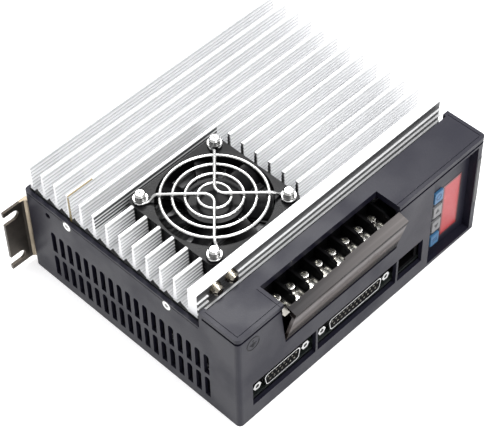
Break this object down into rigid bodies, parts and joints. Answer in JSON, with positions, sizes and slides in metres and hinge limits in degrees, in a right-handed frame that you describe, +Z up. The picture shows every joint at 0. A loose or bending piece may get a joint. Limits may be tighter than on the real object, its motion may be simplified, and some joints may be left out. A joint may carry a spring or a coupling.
{
  "type": "stepper motor driver module",
  "caption": "Stepper motor driver in a slotted case with a finned heat sink and cooling fan, covered screw terminals, D-sub ports and a display with keys.",
  "frame": {"origin": "middle of the flat base of the case, on its underside", "axes": "+X along the front panel towards the display, +Y from the front panel to the rear wall, +Z up out of the heat sink fins"},
  "size_m": [0.2022, 0.1587, 0.0788],
  "materials": {
    "case_plastic": "satin moulded",
    "heat_sink_aluminium": "extruded and bright",
    "fan_plastic": "satin moulded",
    "motor_winding": "enamelled copper",
    "plated_steel": "bright plated",
    "zinc_steel": "zinc plated and passivated",
    "terminal_plastic": "moulded",
    "terminal_metal": "nickel plated",
    "smoke_plastic": "clear smoke tint",
    "red_window": "translucent red",
    "display_resin": "diffuse",
    "board_laminate": "glass-epoxy laminate",
    "key_blue": "smooth",
    "key_grey": "smooth",
    "label_stock": "blank self-adhesive",
    "epoxy": "moulded",
    "pad": "silicone",
    "capacitor_sleeve": "shrink sleeve",
    "coil": "varnished"
  },
  "bodies": {
    "case": {"housing_shell": "case_plastic", "top_cover": "case_plastic", "heat_sink": "heat_sink_aluminium", "fan_frame": "fan_plastic", "fan_stator": "motor_winding", "fan_guard": "plated_steel", "fan_washers": "plated_steel", "fan_screws": "plated_steel", "earth_washers": "plated_steel", "earth_screws": "plated_steel", "side_screws": "plated_steel", "left_bracket": "zinc_steel", "right_bracket": "zinc_steel", "bracket_screws": "plated_steel", "terminal_block": "terminal_plastic", "terminal_plates": "terminal_metal", "terminal_washers": "terminal_metal", "terminal_screws": "terminal_metal", "port15_body": "terminal_plastic", "port15_shell": "plated_steel", "port25_body": "terminal_plastic", "port25_shell": "plated_steel", "jack_screws": "plated_steel", "aux_socket": "terminal_plastic", "display_bezel": "case_plastic", "display_window": "red_window", "display_module": "display_resin", "display_board": "board_laminate", "display_screws": "plated_steel", "key_switches": "terminal_plastic", "blank_label": "label_stock", "control_board": "board_laminate", "control_chips": "epoxy", "power_board": "board_laminate", "power_modules": "epoxy", "thermal_pads": "pad", "capacitors": "capacitor_sleeve", "transformer": "coil", "board_screws": "plated_steel"},
    "rotor": {"fan_rotor": "fan_plastic"},
    "terminal_lid": {"terminal_cover": "smoke_plastic"},
    "key_top": {"key_1": "key_blue"},
    "key_upper": {"key_2": "key_grey"},
    "key_lower": {"key_3": "key_grey"},
    "key_bottom": {"key_4": "key_blue"}
  },
  "joints": [
    {"name": "fan_spin", "type": "hinge", "parent": "case", "child": "rotor", "pos_m": [-0.0374, -0.0094, 0.0633], "axis": [0, 0, 1], "continuous": true},
    {"name": "lid_swing", "type": "hinge", "parent": "case", "child": "terminal_lid", "pos_m": [-0.017, -0.0731, 0.04], "axis": [1, 0, 0], "range_deg": [-14.5, 80]},
    {"name": "key_1_press", "type": "slide", "parent": "case", "child": "key_top", "axis": [0, 1, 0], "range_m": [0, 0.0003], "stiffness_N_per_m": 4000},
    {"name": "key_2_press", "type": "slide", "parent": "case", "child": "key_upper", "axis": [0, 1, 0], "range_m": [0, 0.0003], "stiffness_N_per_m": 4000},
    {"name": "key_3_press", "type": "slide", "parent": "case", "child": "key_lower", "axis": [0, 1, 0], "range_m": [0, 0.0003], "stiffness_N_per_m": 4000},
    {"name": "key_4_press", "type": "slide", "parent": "case", "child": "key_bottom", "axis": [0, 1, 0], "range_m": [0, 0.0003], "stiffness_N_per_m": 4000}
  ]
}
